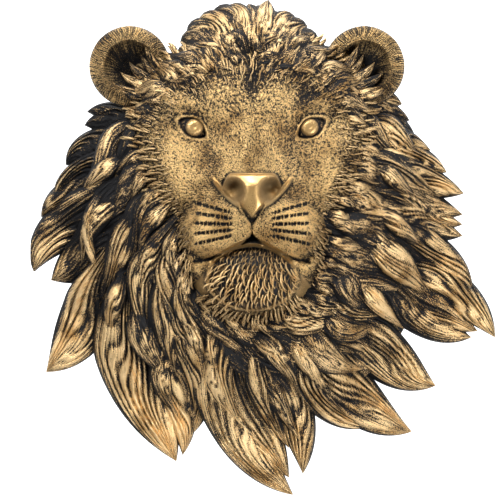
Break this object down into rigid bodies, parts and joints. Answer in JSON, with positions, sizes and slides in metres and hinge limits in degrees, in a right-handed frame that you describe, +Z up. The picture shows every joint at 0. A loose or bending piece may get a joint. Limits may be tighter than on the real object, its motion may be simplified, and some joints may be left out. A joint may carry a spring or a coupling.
{
  "type": "lion head wall mask",
  "caption": "Cast lion head wall mask with a flowing mane of locks, a flat back and an antique gold finish.",
  "frame": {"origin": "middle of the flat back, on the face's centreline behind the nose", "axes": "+X to the viewer's right, +Y into the wall, +Z up; the face looks along -Y"},
  "size_m": [0.3744, 0.112, 0.395],
  "materials": {
    "antique_gold": "antique gold dry-brushed over black, satin"
  },
  "bodies": {
    "root": {"lion_mask": "antique_gold"}
  },
  "joints": []
}
